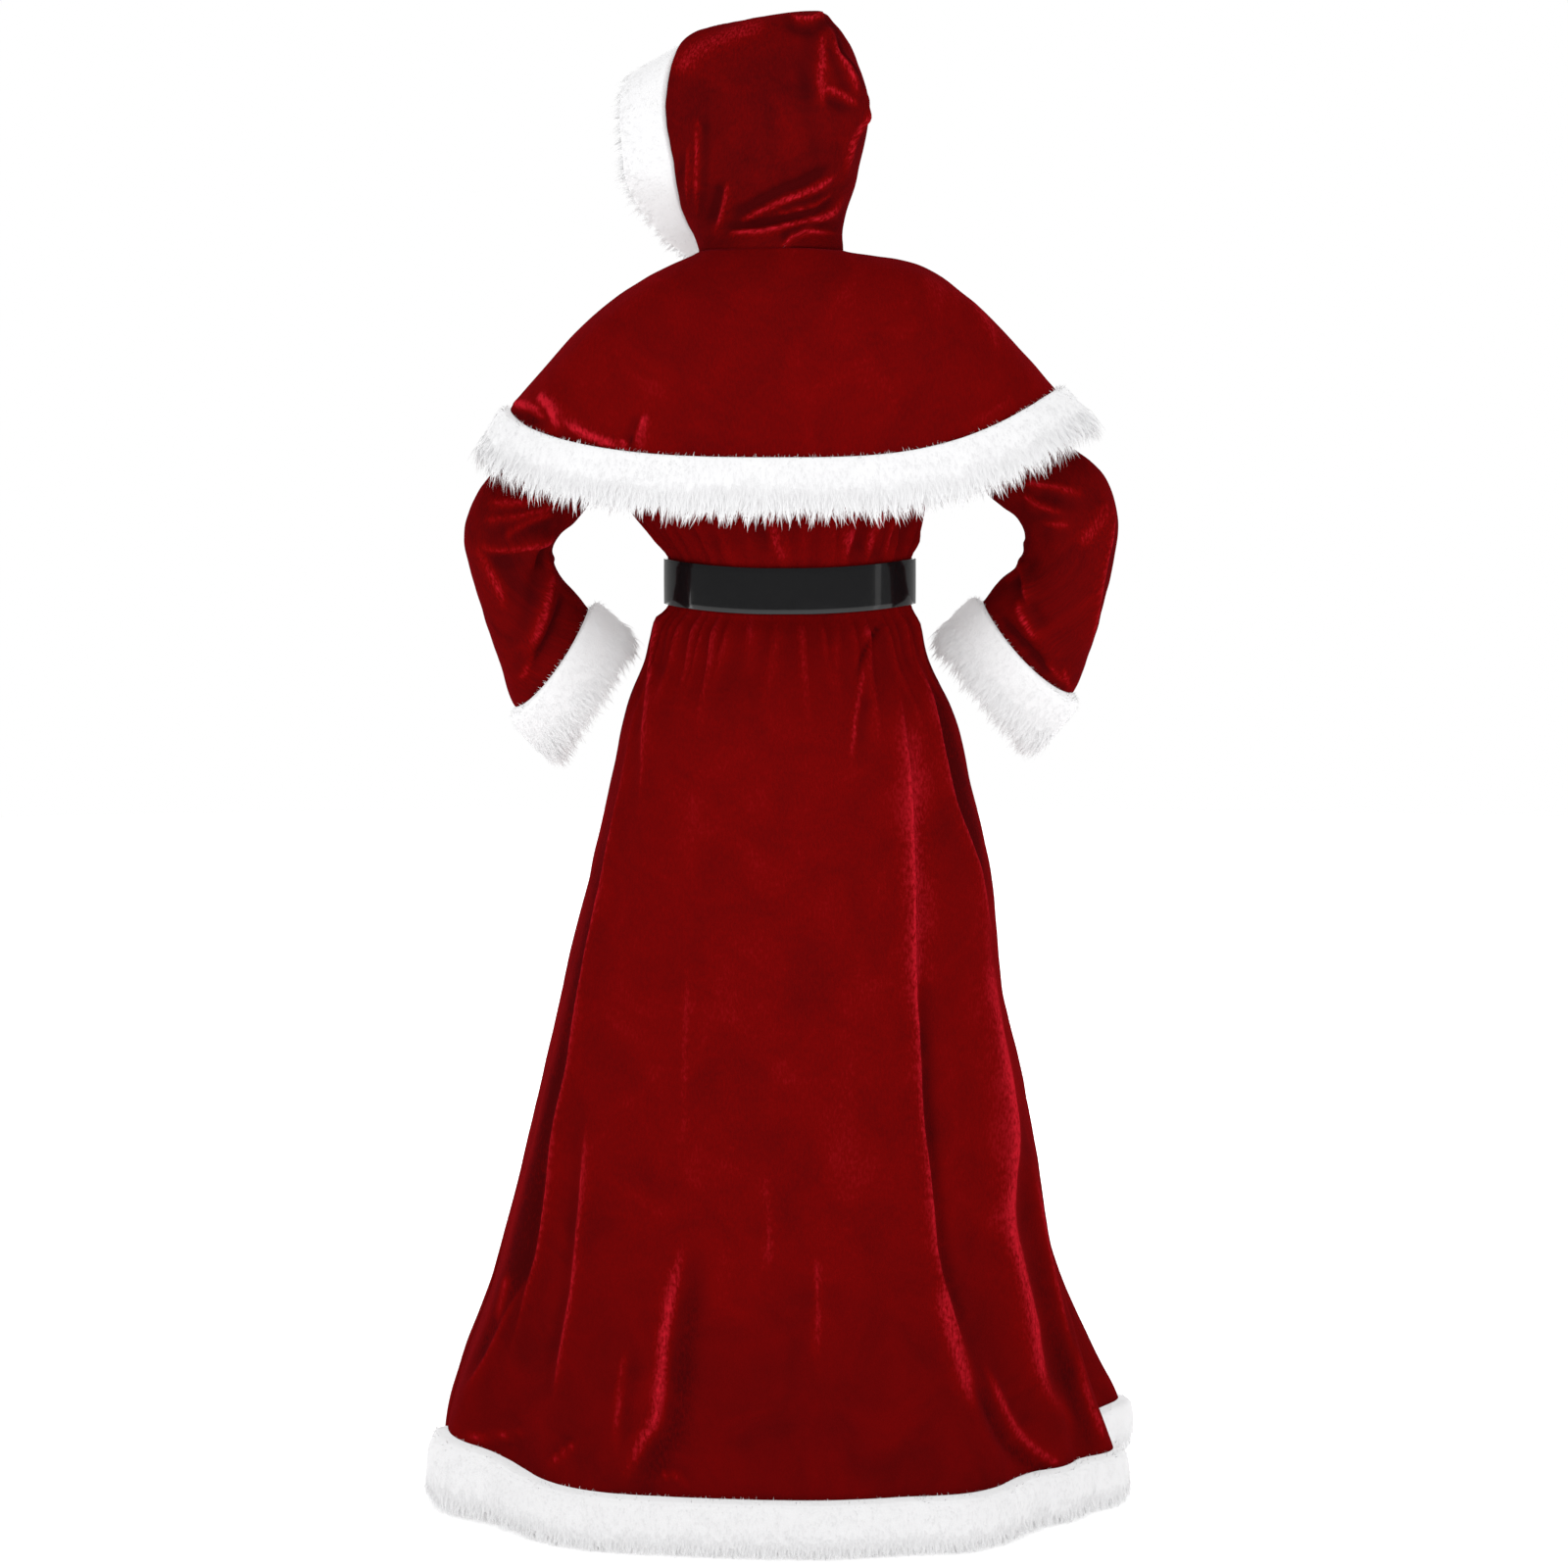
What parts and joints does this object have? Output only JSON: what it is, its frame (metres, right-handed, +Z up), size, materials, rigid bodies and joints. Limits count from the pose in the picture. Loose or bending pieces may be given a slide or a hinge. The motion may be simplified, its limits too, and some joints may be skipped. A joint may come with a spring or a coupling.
{
  "type": "christmas costume dress with hooded cape and belt",
  "caption": "Long red velvet costume dress in its worn form, with a hooded shoulder cape, white faux fur trims and a wide black belt.",
  "frame": {"origin": "midway between the shoulders at the height of the shoulder line, where the wearer holds it up", "axes": "+Z up, the front faces -Y, the wearer's left is +X"},
  "size_m": [0.8135, 0.6748, 1.6239],
  "materials": {
    "red_velvet": "crushed deep red velvet with a sheen at its folds",
    "white_faux_fur": "long white plush faux fur",
    "black_patent": "glossy black patent imitation leather",
    "plain_metal": "plain polished metal"
  },
  "bodies": {
    "root": {"skirt_back": "red_velvet", "skirt_front": "red_velvet", "bodice_back": "red_velvet", "bodice_front": "red_velvet", "sleeve_left": "red_velvet", "sleeve_right": "red_velvet", "cape_back": "red_velvet", "cape_front_right": "red_velvet", "cape_front_left": "red_velvet", "hood_left": "red_velvet", "hood_right": "red_velvet", "hem_fur_back": "white_faux_fur", "hem_fur_front": "white_faux_fur", "cuff_fur_left": "white_faux_fur", "cuff_fur_right": "white_faux_fur", "cape_hem_fur": "white_faux_fur", "hood_fur": "white_faux_fur", "belt_strap": "black_patent", "belt_buckle_frame": "plain_metal", "belt_buckle_prong": "plain_metal", "cape_neck_clasp": "plain_metal"}
  },
  "joints": []
}
